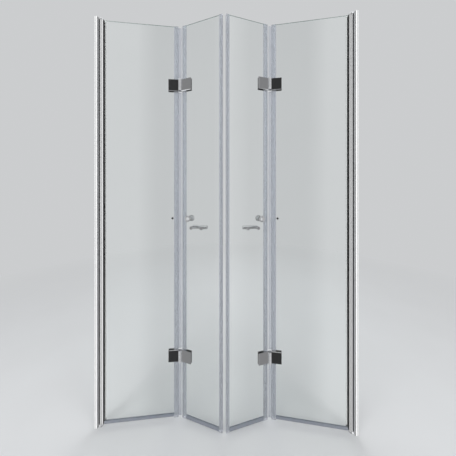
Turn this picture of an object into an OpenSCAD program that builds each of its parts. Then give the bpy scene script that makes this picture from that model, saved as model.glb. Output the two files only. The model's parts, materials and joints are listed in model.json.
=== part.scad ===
// Double bi-fold glass shower door for a niche between two walls.
// X runs left to right seen from outside, Y into the shower, Z up.
// The origin is on the sill, midway between the walls, in the closing plane.

/* [Opening] */
// Width of the opening between the two side walls
opening_w = 1200; // [1160:5:1400]
// Height of the wall profiles above the sill
door_h = 1900; // [1700:10:2100]

/* [Panels] */
// Thickness of the safety glass
glass_t = 6; // [5:1:8]
// Distance from a wall pivot to the fold pin of the same side
outer_w = 361; // [320:1:380]
// Height of the lower glass edges above the sill
glass_lift = 17; // [16:1:20]
// Gap left between the two closing edges when the door is shut
shut_gap = 2; // [2:0.5:5]

/* [Pose] */
// Angle by which the outer panels stand inwards of the closing plane
swing = 6.5; // [0:0.5:8]
// Angle by which the inner panels lean outwards of the closing plane
lean = 15.5; // [0:0.5:17]

/* [Wall profiles] */
// Width of the wall channel seen from the front
channel_w = 15; // [14:0.5:22]
// Depth of the wall channel from front to back
channel_d = 28; // [28:1:36]
// Wall thickness of the channel
channel_wall = 3; // [2.8:0.1:3.4]
// Height of the crown that rounds the channel's front and back
channel_crown = 1; // [0.6:0.1:2]
// Gap between the channel and the profile that slides in it
slide_gap = 0.2; // [0.1:0.05:0.4]
// Wall thickness of the pivot profile
profile_wall = 1.8; // [1.4:0.1:2.4]
// Width of the pivot profile's front flange beside the channel
flange_w = 3; // [2:0.5:4]
// Width of the black strip on the edge of the flange
strip_w = 2; // [1.5:0.5:2.5]
// Diameter of the holes for the wall screws
wall_hole_d = 5.5; // [4.5:0.5:6.5]
// Distance between neighbouring wall screws
wall_hole_pitch = 500; // [400:10:540]
// Distance between neighbouring side screws
side_screw_pitch = 700; // [500:10:800]
// Thread diameter of the side screws
side_screw_d = 3.9; // [3.5:0.1:4.2]

/* [Pivots] */
// Diameter of the turning rail that holds the outer glass
rail_d = 16; // [16:0.5:18]
// Gap between the wall channel and the rail
rail_gap = 2; // [1.5:0.5:4]
// Diameter of the pivot pins
pivot_d = 6; // [5:0.5:6]
// Radial play of a pin in its bore or bush
pin_play = 0.05; // [0.03:0.01:0.08]
// Wall thickness of a bearing bush
bush_wall = 2; // [1.5:0.1:2.2]
// Thickness of the flange of a bearing bush
flange_t = 0.6; // [0.5:0.1:1]
// Gap between a bush flange and the end of the rail
rail_end_gap = 0.4; // [0.3:0.1:0.8]
// Thickness of the upper bearing block
top_block_t = 7.5; // [7:0.5:10]
// Thickness of the lower bearing block
foot_block_t = 12; // [10:0.5:13]
// Length of a pivot pin inside the rail
pivot_hold = 26; // [15:1:40]

/* [Glazing] */
// Thickness of the black gasket on each face of the glass
gasket_t = 2; // [1.5:0.1:2.5]
// Thickness of the rail's lips
lip_wall = 1.5; // [1.2:0.1:2]
// Distance from the pivot axis to the end of the rail's front lip
lip_reach = 10; // [9:0.5:12]
// Distance from the pivot axis to the end of the rail's back lip
back_lip_reach = 20; // [17:0.5:24]
// Width of the gasket that shows beside the front lip
gasket_show = 3; // [2:0.5:5]

/* [Edge seals] */
// Wall thickness of the clear seals
seal_wall = 1.3; // [1:0.1:1.6]
// Distance from the fold pin to a glass edge
fold_edge = 14; // [13:0.5:18]
// Distance from the fold pin to the nose of a fold seal
fold_nose = 7.3; // [7:0.1:9]
// Width of a fold seal on the face of the glass
fold_leg = 15; // [10:0.5:18]
// Length of the closing seal beyond the glass edge
magnet_nose = 9; // [8:0.5:12]
// Width of the closing seal on the face of the glass
magnet_leg = 7.4; // [6:0.2:10]
// Thickness of the magnet strip
magnet_t = 3.6; // [3:0.1:4]
// Height of the vertical seals above the sill
seal_foot = 4; // [3:0.5:8]
// Height of a bottom seal on the face of the glass
sill_leg = 5; // [4:0.5:9]
// Length of the drip lips below the outer glass
outer_drip = 9; // [7:0.5:12]
// Length of the drip lips below the inner glass
inner_drip = 12.5; // [10:0.5:14]

/* [Fold hinges] */
// Height of a fold hinge
hinge_h = 57; // [50:1:70]
// Distance from a glass corner to the middle of a hinge
hinge_inset = 286; // [200:1:400]
// Distance from the fold pin to the far edge of a leaf
leaf_reach = 56; // [50:1:65]
// Thickness of a front leaf
leaf_t = 5; // [5:0.2:6]
// Thickness of a back plate
plate_t = 4; // [4:0.2:6]
// Width of the bevel round a leaf
leaf_bevel = 1.6; // [1:0.1:2]
// Thickness of the pads between metal and glass
pad_t = 1; // [0.6:0.1:1.5]
// Diameter of the knuckle
knuckle_d = 13; // [12:0.2:13.4]
// Distance of the fold pin in front of the leaves
pin_proud = 2; // [1.6:0.1:3]
// Diameter of the fold pins
fold_pin_d = 6; // [5:0.2:6.4]
// Gap between neighbouring knuckle barrels
knuckle_gap = 0.5; // [0.3:0.1:0.8]
// Diameter of the glass holes at the hinges
glass_hole_d = 12; // [10:0.5:14]
// Distance from the fold pin to the hinge screws
hinge_screw_x = 34; // [30:0.5:38]
// Distance between the two screws of a leaf
hinge_screw_pitch = 28; // [24:1:34]
// Thread diameter of the hinge and handle screws
screw_d = 5; // [4:0.5:5]

/* [Handles] */
// Distance from the fold pin to the knob
knob_x = 46; // [44:1:60]
// Height of the knob above the sill
knob_z = 965; // [900:5:1050]
// Diameter of the knob
knob_d = 29; // [24:1:32]
// Height of the knob above its washer
knob_h = 21; // [18:1:22]
// Distance from the fold pin to the near end of the grip bar
bar_x = 44; // [42:1:60]
// Length of the grip bar
bar_l = 76; // [70:1:90]
// Height of the grip bar above the sill
bar_z = 920; // [850:5:1000]
// Diameter of the grip bar
bar_d = 18; // [14:1:20]
// Distance from the glass to the axis of the grip bar
bar_stand = 37; // [34:1:45]
// Diameter of the posts of the grip bar
post_d = 10; // [9:0.5:12]
// Diameter of the bumper that meets the knob
bumper_d = 10; // [8:0.5:12]
// Thickness of the bumper
bumper_t = 2.5; // [1.5:0.1:2.5]

/* [Hidden] */
$fn = 64;

// Colours of the finishes
chrome = [0.80, 0.82, 0.85];
polished = [0.72, 0.74, 0.77];
steel = [0.60, 0.62, 0.64];
glass_tint = [0.80, 0.90, 0.90, 0.30];
clear_vinyl = [0.80, 0.87, 0.93, 0.55];
smoky_vinyl = [0.36, 0.42, 0.52, 0.80];
black_rubber = [0.06, 0.06, 0.07];
nylon = [0.92, 0.92, 0.90];
magnet_white = [0.86, 0.87, 0.88];

// A hair more than any wall, so that a cut passes both faces
cut = 0.5;

// Wall profile, measured from the wall
rail_r = rail_d / 2;
pivot_inset = channel_w + rail_gap + rail_r;
pivot_x = opening_w / 2 - pivot_inset;
channel_half = channel_d / 2;
profile_half = channel_half - channel_wall - slide_gap;
profile_room = 1.5;
profile_back = channel_wall + profile_room;
profile_front = channel_w + rail_gap / 4;
strip_start = profile_front + flange_w;
strip_play = 0.6;
strip_clear = rail_r + strip_play;
strip_edge = 0.6;
side_screw_x = (profile_back + channel_w) / 2;
block_tongue = 14;
block_end = 1.5;
pin_end_gap = 1;
bush_rim = 1;

// Heights
glass_top = door_h - top_block_t - flange_t - rail_end_gap;
rail_foot = foot_block_t + flange_t + rail_end_gap;
mid_z = door_h / 2;
hinge_heights = [glass_lift + hinge_inset, glass_top - hinge_inset];
hinge_clear = 1;
seal_cut_h = hinge_h + 2 * hinge_clear;

// Outer glass, measured from the pivot axis
bore_r = pivot_d / 2 + pin_play;
bore_wall = 1.35;
pocket_x = bore_r + bore_wall;
glass_seat = 1;
glass_start = pocket_x + glass_seat;
pocket_half = glass_t / 2 + gasket_t;
lip_half = pocket_half + lip_wall;
gasket_tip = 0.7;
gasket_step = 0.3;
gasket_lap = 1;
outer_glass_end = outer_w - fold_edge;

// Inner glass, measured from the fold pin
inner_w = pivot_x - outer_w - shut_gap / 2;
inner_glass_end = inner_w - magnet_nose;
pin_off = glass_t / 2 + pad_t + leaf_t + pin_proud;
front_face = pin_off - glass_t / 2;
back_face = pin_off + glass_t / 2;
leaf_back = front_face - pad_t;
plate_front = back_face + pad_t;
plate_back = plate_front + plate_t;

// Knuckle barrels of a hinge
knuckle_r = knuckle_d / 2;
knuckle_play = 0.5;
knuckle_clear = knuckle_r + knuckle_play;
leaf_start = 1;
plate_lap = 2;
plate_start = fold_edge - plate_lap;
plate_bevel = leaf_bevel * 0.75;
pad_edge = 1;
barrel_h = (hinge_h - 2 * knuckle_gap) / 3;
barrel_step = barrel_h + knuckle_gap;
fold_pin_r = fold_pin_d / 2;

// Screws
screw_r = screw_d / 2;
screw_play = 0.1;
head_r = screw_d * 0.85;
head_h = screw_d * 0.5;
head_play = 0.2;
hex_r = screw_d * 0.35;
head_sunk = 0.2;
thread_end = 1.5;
thread_grip = leaf_t - thread_end;
thread_gap = 0.4;
side_head_r = side_screw_d * 0.9;
side_head_h = 2.2;
side_socket_r = 1.5;
side_grip = 2;

// Handles
washer_t = 1;
washer_gap = 0.05;
stud_r = 3;
glass_bolt_r = 5;
knob_bore = 12;
post_bore = 14;
knob_foot_r = knob_d / 2 * 0.62;
stud_gap = 1;
washer_rim = 0.8;
cap_r = 8;
cap_t = 2.6;
post_inset = 12;
bar_posts = [bar_x + post_inset, bar_x + bar_l - post_inset];

// Seals
seal_gap = 0.5;
nose_round = 3;
nose_hollow = 1.4;
fin_t = 0.8;
fin_y = glass_t / 2 - fin_t;
fin_root = 1;
fin_short = 1.6;
fin_end = fold_nose - fin_short;
drip_outside = 0.4;
drip_inside = 0.8;
magnet_play = 0.1;
magnet_cover = 1;
magnet_short = 10;

// Places a half of the door: side is -1 for the left and 1 for the right
module half(side) {
    if (side < 0) {
        children();
    } else {
        mirror([1, 0, 0]) children();
    }
}

// Frame of a wall profile: X runs from the wall into the opening
module at_wall(side) {
    half(side) translate([-opening_w / 2, 0, 0]) children();
}

// Frame of an outer panel: origin on its pivot, glass along X
module at_pivot(side) {
    half(side) translate([-pivot_x, 0, 0]) rotate([0, 0, swing]) children();
}

// Outer half of a fold: origin on the pin, X runs back towards the pivot
module at_outer_fold(side) {
    at_pivot(side) translate([outer_w, -pin_off, 0]) mirror([1, 0, 0]) children();
}

// Frame of an inner panel: origin on the fold pin, glass along X
module at_fold(side) {
    at_pivot(side)
        translate([outer_w, -pin_off, 0])
            rotate([0, 0, -swing - lean])
                children();
}

// Turns what points up Z into what points along Y, into the shower
module along_y() {
    rotate([-90, 0, 0]) children();
}

// Cylinder along Y from y0 to y1
module y_rod(r, y0, y1) {
    translate([0, y0, 0]) along_y() cylinder(r = r, h = y1 - y0);
}

// Box from one corner to the opposite one
module span(lo, hi) {
    translate(lo) cube(hi - lo);
}

// Plate across X and Z with its front edges bevelled, front at y0, back at y1
module bevelled_plate(x0, x1, y0, y1, h, bevel) {
    intersection() {
        translate([0, 0, -h / 2]) linear_extrude(h) polygon([
            [x0, y1], [x0, y0 + bevel], [x0 + bevel, y0],
            [x1 - bevel, y0], [x1, y0 + bevel], [x1, y1]
        ]);
        translate([x0, 0, 0]) rotate([90, 0, 90]) linear_extrude(x1 - x0) polygon([
            [y1, -h / 2], [y0 + bevel, -h / 2], [y0, -h / 2 + bevel],
            [y0, h / 2 - bevel], [y0 + bevel, h / 2], [y1, h / 2]
        ]);
    }
}

// Outer section of the channel, its front and back crowned by wide arcs
module channel_outline() {
    crown_r = (channel_w * channel_w / 4 + channel_crown * channel_crown) / (2 * channel_crown);
    intersection() {
        translate([0, -channel_half]) square([channel_w, channel_d]);
        translate([channel_w / 2, channel_half - crown_r]) circle(r = crown_r);
        translate([channel_w / 2, crown_r - channel_half]) circle(r = crown_r);
    }
}

// U-shaped aluminium channel that is screwed to the wall
module wall_channel(side) {
    color(chrome) at_wall(side) difference() {
        linear_extrude(door_h) difference() {
            channel_outline();
            translate([channel_wall, channel_wall - channel_half])
                square([channel_w, 2 * (channel_half - channel_wall)]);
        }
        for (row = [-1.5 : 1.5])
            translate([-cut, 0, mid_z + row * wall_hole_pitch])
                rotate([0, 90, 0])
                    cylinder(d = wall_hole_d, h = channel_wall + 2 * cut);
        for (row = [-1 : 1])
            translate([side_screw_x, 0, mid_z + row * side_screw_pitch])
                y_rod(side_screw_d / 2 + screw_play, 0, channel_half + cut);
    }
}

// Hollow profile that slides in the channel to suit the wall, with a flange in front
module pivot_profile(side) {
    color(polished) at_wall(side) difference() {
        translate([0, 0, foot_block_t]) linear_extrude(door_h - foot_block_t - top_block_t) {
            difference() {
                translate([profile_back, -profile_half])
                    square([profile_front - profile_back, 2 * profile_half]);
                translate([profile_back + profile_wall, profile_wall - profile_half])
                    square([profile_front - profile_back - 2 * profile_wall,
                            2 * (profile_half - profile_wall)]);
            }
            translate([profile_front - profile_wall, -profile_half])
                square([profile_wall + flange_w, profile_wall]);
        }
        for (row = [-1 : 1])
            translate([side_screw_x, 0, mid_z + row * side_screw_pitch])
                y_rod(side_screw_d / 2 + screw_play, 0, profile_half + cut);
    }
}

// Outline of a bearing block, from the channel to round the pivot
module block_outline() {
    translate([profile_back, -profile_half])
        square([profile_front - profile_back, 2 * profile_half]);
    translate([profile_front - cut, -rail_r])
        square([pivot_inset - profile_front + cut, rail_d]);
    translate([pivot_inset, 0]) circle(r = rail_r);
}

// Tongue of a bearing block inside the pivot profile
module block_tongue_outline() {
    edge = profile_wall + slide_gap;
    translate([profile_back + edge, edge - profile_half])
        square([profile_front - profile_back - 2 * edge, 2 * (profile_half - edge)]);
}

// The two blocks that close a pivot profile and carry its pivots
module bearing_blocks(side) {
    bush_r = bore_r + bush_wall;
    color(chrome) at_wall(side) {
        difference() {
            union() {
                linear_extrude(foot_block_t) block_outline();
                translate([0, 0, foot_block_t - cut])
                    linear_extrude(block_tongue + cut) block_tongue_outline();
            }
            translate([pivot_inset, 0, foot_block_t - bush_depth(foot_block_t)])
                cylinder(r = bush_r, h = foot_block_t);
        }
        difference() {
            union() {
                translate([0, 0, door_h - top_block_t])
                    linear_extrude(top_block_t) block_outline();
                translate([0, 0, door_h - top_block_t - block_tongue])
                    linear_extrude(block_tongue + cut) block_tongue_outline();
            }
            translate([pivot_inset, 0, door_h - foot_block_t - top_block_t])
                cylinder(r = bush_r, h = foot_block_t + bush_depth(top_block_t));
        }
    }
}

// Depth of the seat of a bush in a block, leaving a closed end
function bush_depth(block_t) = block_t - block_end;

// One flanged bush, its flange at the bottom and its barrel upwards
module bush(barrel) {
    difference() {
        union() {
            cylinder(r = bore_r + bush_wall + bush_rim, h = flange_t);
            cylinder(r = bore_r + bush_wall, h = flange_t + barrel);
        }
        translate([0, 0, -cut]) cylinder(r = bore_r, h = flange_t + barrel + 2 * cut);
    }
}

// The four flanged bushes that the pivot pins turn in
module bearing_bushes() {
    color(nylon) for (side = [-1, 1]) at_wall(side) translate([pivot_inset, 0, 0]) {
        translate([0, 0, door_h - top_block_t - flange_t]) bush(bush_depth(top_block_t));
        translate([0, 0, foot_block_t + flange_t])
            mirror([0, 0, 1]) bush(bush_depth(foot_block_t));
    }
}

// Black strips on the flanges of the pivot profiles, beside the turning rails
module rail_strips() {
    strip_end = strip_start + strip_w;
    color(black_rubber) for (side = [-1, 1]) at_wall(side)
        translate([0, 0, foot_block_t])
            linear_extrude(door_h - foot_block_t - top_block_t)
                polygon([
                    [strip_start, -profile_half],
                    [strip_end - strip_edge, -profile_half],
                    [strip_end, strip_edge - profile_half],
                    [strip_end, -strip_clear],
                    [strip_start, -strip_clear]
                ]);
}

// Screws that lock the pivot profiles in the wall channels
module side_screws() {
    color(steel) for (side = [-1, 1], row = [-1 : 1]) at_wall(side)
        translate([side_screw_x, 0, mid_z + row * side_screw_pitch]) difference() {
            union() {
                y_rod(side_screw_d / 2, profile_half - profile_wall - side_grip,
                      channel_half + side_head_h / 2);
                y_rod(side_head_r, channel_half, channel_half + side_head_h);
            }
            translate([0, channel_half + side_head_h / 2, 0])
                along_y() cylinder(r = side_socket_r, h = side_head_h, $fn = 6);
        }
}

// Section of the turning rail: a round tube with a short and a long lip for the glass
module rail_outline() {
    difference() {
        union() {
            circle(r = rail_r);
            translate([0, -lip_half]) square([lip_reach, lip_half]);
            square([back_lip_reach, lip_half]);
        }
        translate([pocket_x, -pocket_half]) square([back_lip_reach, 2 * pocket_half]);
        circle(r = bore_r);
    }
}

// Rail that holds the outer glass and turns on the pivots
module pivot_rail(side) {
    color(chrome) at_pivot(side)
        translate([0, 0, rail_foot])
            linear_extrude(glass_top - rail_foot)
                rail_outline();
}

// Upper and lower pivot pins, held in the ends of the rail
module pivot_pins(side) {
    reach_up = bush_depth(top_block_t) - pin_end_gap + flange_t + rail_end_gap;
    reach_down = bush_depth(foot_block_t) - pin_end_gap + flange_t + rail_end_gap;
    color(steel) at_pivot(side) {
        translate([0, 0, glass_top - pivot_hold])
            cylinder(d = pivot_d, h = pivot_hold + reach_up);
        translate([0, 0, rail_foot - reach_down])
            cylinder(d = pivot_d, h = pivot_hold + reach_down);
    }
}

// Black gasket that wraps the outer glass in the rail and shows beside it
module glazing_gasket(side) {
    half_t = glass_t / 2;
    show_x = lip_reach + gasket_show;
    color(black_rubber) at_pivot(side) translate([0, 0, rail_foot])
        linear_extrude(glass_top - rail_foot) difference() {
            polygon([
                [pocket_x, -pocket_half], [lip_reach, -pocket_half],
                [lip_reach, gasket_step - lip_half],
                [lip_reach + gasket_lap, gasket_step - lip_half],
                [show_x, -half_t - gasket_tip], [show_x, pocket_half],
                [pocket_x, pocket_half]
            ]);
            translate([glass_start, -half_t]) square([show_x, glass_t]);
        }
}

// Pane of glass from x0 to x1, centred on y
module pane(x0, x1, y) {
    span([x0, y - glass_t / 2, glass_lift], [x1, y + glass_t / 2, glass_top]);
}

// Pairs of glass holes for the fold hinges, seen from the pin
module hinge_glass_holes() {
    for (z = hinge_heights, row = [-1, 1])
        translate([hinge_screw_x, 0, z + row * hinge_screw_pitch / 2])
            y_rod(glass_hole_d / 2, front_face - cut, back_face + cut);
}

// Outer pane, between the wall pivot and the fold
module outer_glass(side) {
    color(glass_tint) difference() {
        at_pivot(side) pane(glass_start, outer_glass_end, 0);
        at_outer_fold(side) hinge_glass_holes();
    }
}

// Inner pane, between the fold and the closing edge
module inner_glass(side) {
    color(glass_tint) at_fold(side) difference() {
        pane(fold_edge, inner_glass_end, pin_off);
        hinge_glass_holes();
        translate([knob_x, 0, knob_z]) y_rod(glass_bolt_r, front_face - cut, back_face + cut);
        for (x = bar_posts)
            translate([x, 0, bar_z]) y_rod(glass_bolt_r, front_face - cut, back_face + cut);
    }
}

// Section of a seal that clips on a glass edge at x = 0 and points to -X
module edge_seal_outline(leg, nose) {
    half_t = glass_t / 2 + seal_wall;
    round_r = min(nose_round, nose / 2);
    difference() {
        union() {
            translate([round_r - nose, -half_t]) square([nose - round_r + leg, 2 * half_t]);
            translate([-nose, round_r - half_t]) square([nose, 2 * (half_t - round_r)]);
            for (edge = [-1, 1])
                translate([round_r - nose, edge * (half_t - round_r)]) circle(r = round_r);
        }
        translate([0, -glass_t / 2]) square([leg + cut, glass_t]);
    }
}

// Leaves out the stretches of a fold seal that the hinges take up
module clear_of_hinges() {
    difference() {
        children();
        for (z = hinge_heights)
            span([-fold_edge, 0, z - seal_cut_h / 2],
                 [fold_edge + fold_leg + cut, 2 * pin_off, z + seal_cut_h / 2]);
    }
}

// Clear seal on the fold edge of either pane, seen from the pin
module fold_seal() {
    nose = fold_edge - fold_nose;
    translate([fold_edge, pin_off, seal_foot])
        linear_extrude(glass_top - seal_foot) difference() {
            edge_seal_outline(fold_leg, nose);
            translate([nose_hollow - nose, nose_hollow - glass_t / 2 - seal_wall])
                square([nose - 2 * nose_hollow, glass_t + 2 * (seal_wall - nose_hollow)]);
        }
}

// Fold seal of the outer pane, with the soft fin that covers the fold's gap
module outer_fold_seal(side) {
    color(clear_vinyl) at_outer_fold(side) clear_of_hinges() {
        fold_seal();
        span([-fin_end, pin_off + fin_y, seal_foot],
             [fold_nose + fin_root, pin_off + fin_y + fin_t, glass_top]);
    }
}

// Fold seal of the inner pane
module inner_fold_seal(side) {
    color(clear_vinyl) at_fold(side) clear_of_hinges() fold_seal();
}

// Section of a bottom seal: a clip with two drip lips, glass edge at y = 0
module sill_seal_outline(drip) {
    half_t = glass_t / 2;
    difference() {
        translate([-half_t - seal_wall, -seal_wall])
            square([glass_t + 2 * seal_wall, seal_wall + sill_leg]);
        translate([-half_t, 0]) square([glass_t, sill_leg + cut]);
    }
    for (lip = [-1, 1])
        polygon([
            [lip * half_t, -seal_wall], [lip * (half_t + seal_wall), -seal_wall],
            [lip * (half_t + drip_outside), -drip], [lip * (half_t - drip_inside), -drip]
        ]);
}

// Bottom seal from x0 to x1 under a pane centred on y
module sill_seal(x0, x1, y, drip) {
    translate([x0, y, glass_lift])
        rotate([90, 0, 90])
            linear_extrude(x1 - x0)
                sill_seal_outline(drip);
}

// Bottom seal of the outer pane
module outer_bottom_seal(side) {
    start = lip_reach + gasket_show + seal_gap;
    color(smoky_vinyl) at_pivot(side)
        sill_seal(start, outer_glass_end - fold_leg - seal_gap, 0, outer_drip);
}

// Bottom seal of the inner pane
module inner_bottom_seal(side) {
    color(smoky_vinyl) at_fold(side)
        sill_seal(fold_edge + fold_leg + seal_gap, inner_glass_end - magnet_leg - seal_gap,
                  pin_off, inner_drip);
}

// Clear seal on the closing edge, with a pocket for its magnet and a hollow behind it
module magnet_seal(side) {
    pocket_w = magnet_t + 2 * magnet_play;
    pocket_end = magnet_cover + pocket_w - magnet_nose;
    half_t = glass_t / 2 + seal_wall;
    color(clear_vinyl) at_fold(side) translate([inner_glass_end, pin_off, seal_foot])
        linear_extrude(glass_top - seal_foot) mirror([1, 0]) difference() {
            edge_seal_outline(magnet_leg, magnet_nose);
            translate([magnet_cover - magnet_nose, magnet_cover - half_t])
                square([pocket_w, 2 * (half_t - magnet_cover)]);
            translate([pocket_end + magnet_cover, nose_hollow - half_t])
                square([-pocket_end - magnet_cover - seal_wall, 2 * (half_t - nose_hollow)]);
        }
}

// Magnet strip inside the closing seal
module magnet_strip(side) {
    inset = magnet_cover + magnet_play;
    half_t = glass_t / 2 + seal_wall - inset;
    color(magnet_white) at_fold(side)
        span([inner_w - inset - magnet_t, pin_off - half_t, seal_foot + magnet_short],
             [inner_w - inset, pin_off + half_t, glass_top - magnet_short]);
}

// Cuts the pockets of a leaf that the other leaf's barrels turn in
module barrel_space(z, h) {
    translate([0, 0, z - h / 2 - knuckle_gap]) cylinder(r = knuckle_clear, h = h + 2 * knuckle_gap);
}

// Front leaf of a hinge: its plate, its barrels and its screw bores
module hinge_leaf(own, other) {
    difference() {
        union() {
            bevelled_plate(leaf_start, leaf_reach, pin_proud, leaf_back, hinge_h, leaf_bevel);
            for (z = own)
                translate([0, 0, z - barrel_h / 2]) cylinder(r = knuckle_r, h = barrel_h);
        }
        for (z = other)
            barrel_space(z, barrel_h);
        translate([0, 0, -hinge_h]) cylinder(r = fold_pin_r + pin_play, h = 2 * hinge_h);
        for (row = [-1, 1])
            translate([hinge_screw_x, 0, row * hinge_screw_pitch / 2])
                y_rod(screw_r + screw_play, leaf_back - thread_grip, leaf_back + cut);
    }
}

// Back plate of a hinge, with counterbored screw holes
module hinge_plate() {
    difference() {
        mirror([0, 1, 0])
            bevelled_plate(plate_start, leaf_reach, -plate_back, -plate_front, hinge_h, plate_bevel);
        for (row = [-1, 1]) translate([hinge_screw_x, 0, row * hinge_screw_pitch / 2]) {
            y_rod(screw_r + screw_play, plate_front - cut, plate_back + cut);
            y_rod(head_r + head_play, plate_back - head_h - head_sunk, plate_back + cut);
        }
    }
}

// Pad between a hinge and one face of the glass
module hinge_pad(y0) {
    difference() {
        span([fold_edge + seal_gap, y0, pad_edge - hinge_h / 2],
             [leaf_reach - pad_edge, y0 + pad_t, hinge_h / 2 - pad_edge]);
        for (row = [-1, 1])
            translate([hinge_screw_x, 0, row * hinge_screw_pitch / 2])
                y_rod(glass_hole_d / 2, y0 - cut, y0 + pad_t + cut);
    }
}

// Socket screw along Y, its head flush with the back plate
module hinge_screw() {
    difference() {
        union() {
            y_rod(screw_r, leaf_back - thread_grip + thread_gap, plate_back - head_h);
            y_rod(head_r, plate_back - head_h - head_sunk, plate_back - head_sunk);
        }
        translate([0, plate_back - head_sunk - head_h / 2, 0])
            along_y() cylinder(r = hex_r, h = head_h, $fn = 6);
    }
}

// Puts a piece at both hinges
module at_hinges() {
    for (z = hinge_heights)
        translate([0, 0, z]) children();
}

// Front leaves on the outer pane, with the upper and lower barrels
module outer_hinge_leaves(side) {
    color(chrome) at_outer_fold(side) at_hinges()
        hinge_leaf([-barrel_step, barrel_step], [0]);
}

// Front leaves on the inner pane, with the middle barrels
module inner_hinge_leaves(side) {
    color(chrome) at_fold(side) at_hinges()
        hinge_leaf([0], [-barrel_step, barrel_step]);
}

// Back plates on the outer pane
module outer_back_plates(side) {
    color(chrome) at_outer_fold(side) at_hinges() hinge_plate();
}

// Back plates on the inner pane
module inner_back_plates(side) {
    color(chrome) at_fold(side) at_hinges() hinge_plate();
}

// Pads of both hinges, in front of and behind the glass
module hinge_pads() {
    at_hinges() {
        hinge_pad(leaf_back);
        hinge_pad(back_face);
    }
}

// Pads on the outer pane
module outer_hinge_pads(side) {
    color(black_rubber) at_outer_fold(side) hinge_pads();
}

// Pads on the inner pane
module inner_hinge_pads(side) {
    color(black_rubber) at_fold(side) hinge_pads();
}

// The four screws of a pane's hinges
module hinge_screws() {
    at_hinges() for (row = [-1, 1])
        translate([hinge_screw_x, 0, row * hinge_screw_pitch / 2]) hinge_screw();
}

// Hinge screws in the outer pane
module outer_hinge_screws(side) {
    color(steel) at_outer_fold(side) hinge_screws();
}

// Hinge screws in the inner pane
module inner_hinge_screws(side) {
    color(steel) at_fold(side) hinge_screws();
}

// Pins that the fold hinges turn on
module fold_pins(side) {
    color(steel) at_fold(side) at_hinges()
        translate([0, 0, -hinge_h / 2]) cylinder(r = fold_pin_r, h = hinge_h);
}

// Bumper on the outer pane that the knob meets when the door folds
module bumper(side) {
    r = bumper_d / 2;
    edge = 1;
    color(black_rubber) at_outer_fold(side)
        translate([knob_x - knob_d / 3, front_face, knob_z]) mirror([0, 1, 0]) along_y()
            rotate_extrude()
                polygon([[0, 0], [r, 0], [r, bumper_t - edge], [r - edge, bumper_t], [0, bumper_t]]);
}

// Turned knob along Z with its foot at 0, a waist and a dished face
module knob_body() {
    r = knob_d / 2;
    edge = 2;
    head_t = 10;
    dish_r = 22;
    dish_deep = 1.8;
    difference() {
        rotate_extrude() difference() {
            union() {
                square([knob_foot_r, edge]);
                square([r / 2, knob_h - edge]);
                translate([0, knob_h - head_t]) square([r - edge, head_t]);
                translate([0, knob_h - head_t + edge]) square([r, head_t - 2 * edge]);
                for (z = [edge, head_t - edge])
                    translate([r - edge, knob_h - z]) circle(r = edge);
            }
            translate([0, knob_h + dish_r - dish_deep]) circle(r = dish_r);
        }
        translate([0, 0, -cut]) cylinder(r = stud_r + screw_play, h = knob_bore + cut);
    }
}

// Knob on the outside of the inner pane
module outside_knob(side) {
    color(chrome) at_fold(side)
        translate([knob_x, front_face - washer_t, knob_z])
            mirror([0, 1, 0]) along_y() knob_body();
}

// Knob on the inside of the inner pane
module inside_knob(side) {
    color(chrome) at_fold(side)
        translate([knob_x, back_face + washer_t, knob_z]) along_y() knob_body();
}

// Grip bar along X with rounded ends and its two posts
module grip_bar(side) {
    r = bar_d / 2;
    edge = 2;
    foot = back_face + washer_t;
    axis_y = back_face + bar_stand;
    color(chrome) at_fold(side) difference() {
        union() {
            translate([bar_x, axis_y, bar_z]) rotate([0, 90, 0]) rotate_extrude() {
                square([r - edge, bar_l]);
                translate([0, edge]) square([r, bar_l - 2 * edge]);
                translate([r - edge, edge]) circle(r = edge);
                translate([r - edge, bar_l - edge]) circle(r = edge);
            }
            for (x = bar_posts)
                translate([x, 0, bar_z]) y_rod(post_d / 2, foot, axis_y);
        }
        for (x = bar_posts)
            translate([x, 0, bar_z]) y_rod(screw_r + screw_play, foot - cut, foot + post_bore);
    }
}

// Washer along Y from y0
module washer(r, bore, y0) {
    difference() {
        y_rod(r, y0, y0 + washer_t);
        y_rod(bore, y0 - cut, y0 + washer_t + cut);
    }
}

// Stud of the knobs, screws of the grip bar and all their washers
module handle_fixings(side) {
    washer_y = front_face - washer_t;
    cap_back = washer_y - washer_gap;
    cap_front = cap_back - cap_t;
    color(steel) at_fold(side) {
        translate([knob_x, 0, knob_z]) {
            y_rod(stud_r, washer_y - knob_bore + stud_gap, back_face + washer_t + knob_bore - stud_gap);
            for (y = [washer_y, back_face])
                washer(knob_foot_r + washer_rim, stud_r + screw_play, y);
        }
        for (x = bar_posts) translate([x, 0, bar_z]) {
            difference() {
                union() {
                    y_rod(screw_r, cap_back - cut, back_face + washer_t + post_bore - stud_gap);
                    y_rod(cap_r, cap_front, cap_back);
                }
                translate([0, cap_front - cut, 0])
                    along_y() cylinder(r = hex_r, h = cap_t / 2 + cut, $fn = 6);
            }
            washer(cap_r, screw_r + screw_play, washer_y);
            washer(post_d / 2 + washer_rim, screw_r + screw_play, back_face);
        }
    }
}

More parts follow.
